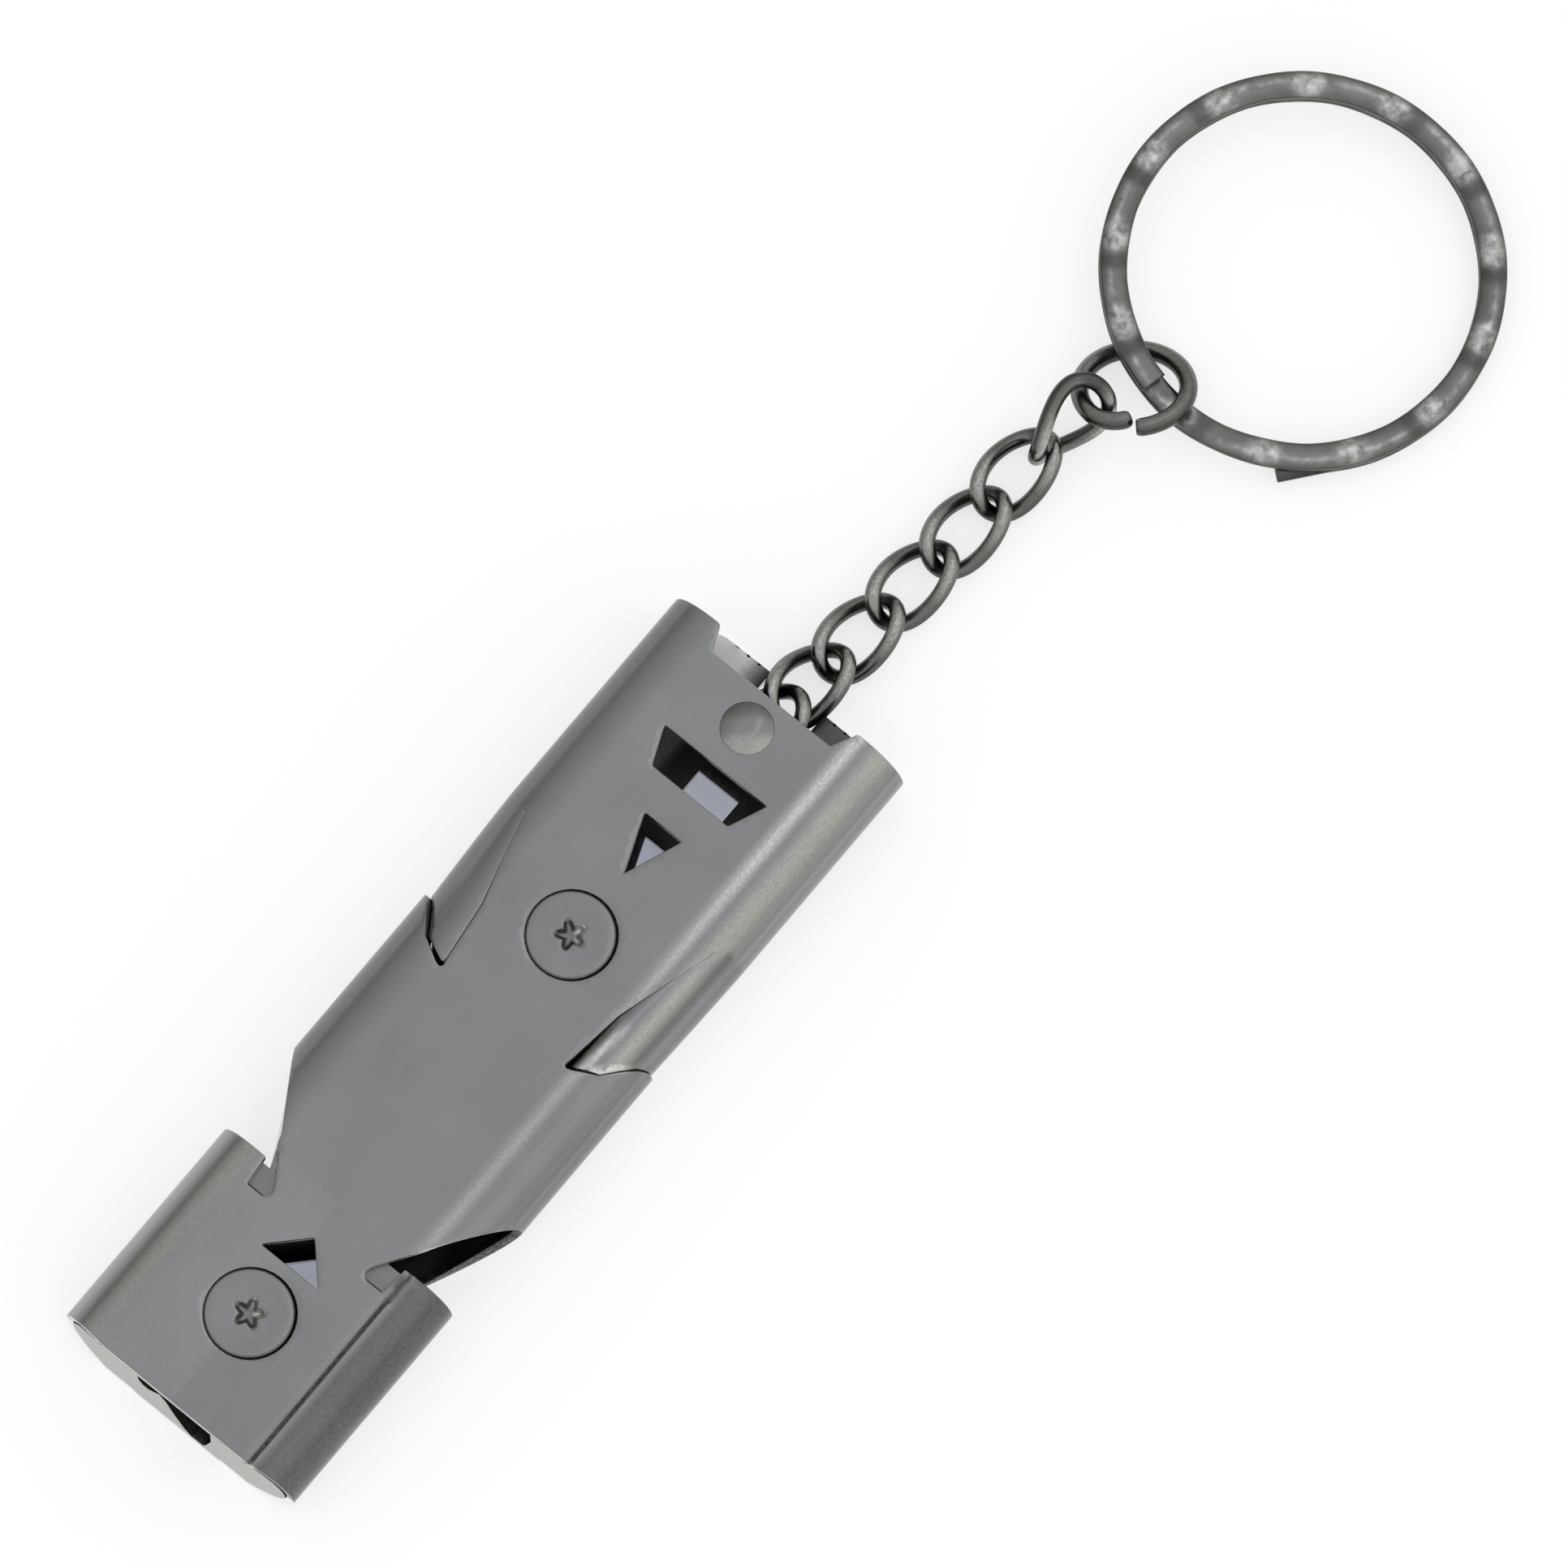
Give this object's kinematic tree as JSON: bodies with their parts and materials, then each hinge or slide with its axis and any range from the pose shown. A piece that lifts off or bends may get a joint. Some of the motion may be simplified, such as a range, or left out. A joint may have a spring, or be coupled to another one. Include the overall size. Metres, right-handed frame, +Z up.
{
  "type": "survival whistle",
  "caption": "Flat double-chamber survival whistle folded from a flattened steel tube, with side sound windows, flush screws and a riveted curb chain carrying a jump ring and a split key ring",
  "frame": {"origin": "centre of the tube's flat underside, on the surface it lies on", "axes": "+X runs along the tube from the mouth to the chain, +Y across the tube to the left, +Z up through the screw heads"},
  "size_m": [0.112, 0.0287, 0.0076],
  "materials": {
    "sleeve_steel": "fine satin grain along the tube, darker on the round sides",
    "block_alloy": "plain machined",
    "screw_steel": "satin, ground flush with the sleeve",
    "rivet_steel": "satin dome",
    "chain_steel": "dark gunmetal plating, worn bright on the ridges",
    "ring_steel": "hammered dark gunmetal plating, worn bright on the high spots"
  },
  "bodies": {
    "whistle": {"body_sleeve": "sleeve_steel", "mouth_block": "block_alloy", "chamber_block": "block_alloy", "mouth_screw": "screw_steel", "middle_screw": "screw_steel", "chain_rivet": "rivet_steel"},
    "chain_link_1": {"chain_link_1": "chain_steel"},
    "chain_link_2": {"chain_link_2": "chain_steel"},
    "chain_link_3": {"chain_link_3": "chain_steel"},
    "chain_link_4": {"chain_link_4": "chain_steel"},
    "chain_link_5": {"chain_link_5": "chain_steel"},
    "chain_link_6": {"chain_link_6": "chain_steel"},
    "chain_link_7": {"chain_link_7": "chain_steel"},
    "jump_ring": {"jump_ring": "chain_steel"},
    "split_ring": {"split_ring": "ring_steel"}
  },
  "joints": [
    {"name": "rivet_swing", "type": "hinge", "parent": "whistle", "child": "chain_link_1", "pos_m": [0.02494, 0, 0.003], "axis": [0, 0, 1], "range_deg": [-18, 18]},
    {"name": "link_2_lift", "type": "hinge", "parent": "chain_link_1", "child": "chain_link_2", "pos_m": [0.02856, -0.00011, 0.00202], "axis": [0.0488, 0.9988, 0], "range_deg": [-30, 6]},
    {"name": "link_3_swing", "type": "hinge", "parent": "chain_link_2", "child": "chain_link_3", "pos_m": [0.03263, -0.00042, 0.00117], "axis": [0, 0, 1], "range_deg": [-25, 30]},
    {"name": "link_4_lift", "type": "hinge", "parent": "chain_link_3", "child": "chain_link_4", "pos_m": [0.03715, -0.00088, 0.00124], "axis": [0.0872, 0.9962, 0], "range_deg": [-38, 38]},
    {"name": "link_5_swing", "type": "hinge", "parent": "chain_link_4", "child": "chain_link_5", "pos_m": [0.04185, -0.00132, 0.00124], "axis": [0, 0, 1], "range_deg": [-26, 24]},
    {"name": "link_6_lift", "type": "hinge", "parent": "chain_link_5", "child": "chain_link_6", "pos_m": [0.04656, -0.00154, 0.00129], "axis": [0.0499, 0.9988, 0], "range_deg": [-22, 25]},
    {"name": "link_7_swing", "type": "hinge", "parent": "chain_link_6", "child": "chain_link_7", "pos_m": [0.05113, -0.00186, 0.00166], "axis": [0, 0, 1], "range_deg": [-30, 6]},
    {"name": "jump_ring_lift", "type": "hinge", "parent": "chain_link_7", "child": "jump_ring", "pos_m": [0.05542, -0.00217, 0.00294], "axis": [0, 1, 0], "range_deg": [-8, 30]},
    {"name": "split_ring_slide_round", "type": "hinge", "parent": "jump_ring", "child": "split_ring", "pos_m": [0.0575, -0.00389, 0.00225], "axis": [0.3548, 0.3498, 0.867], "range_deg": [-40, 45]}
  ]
}
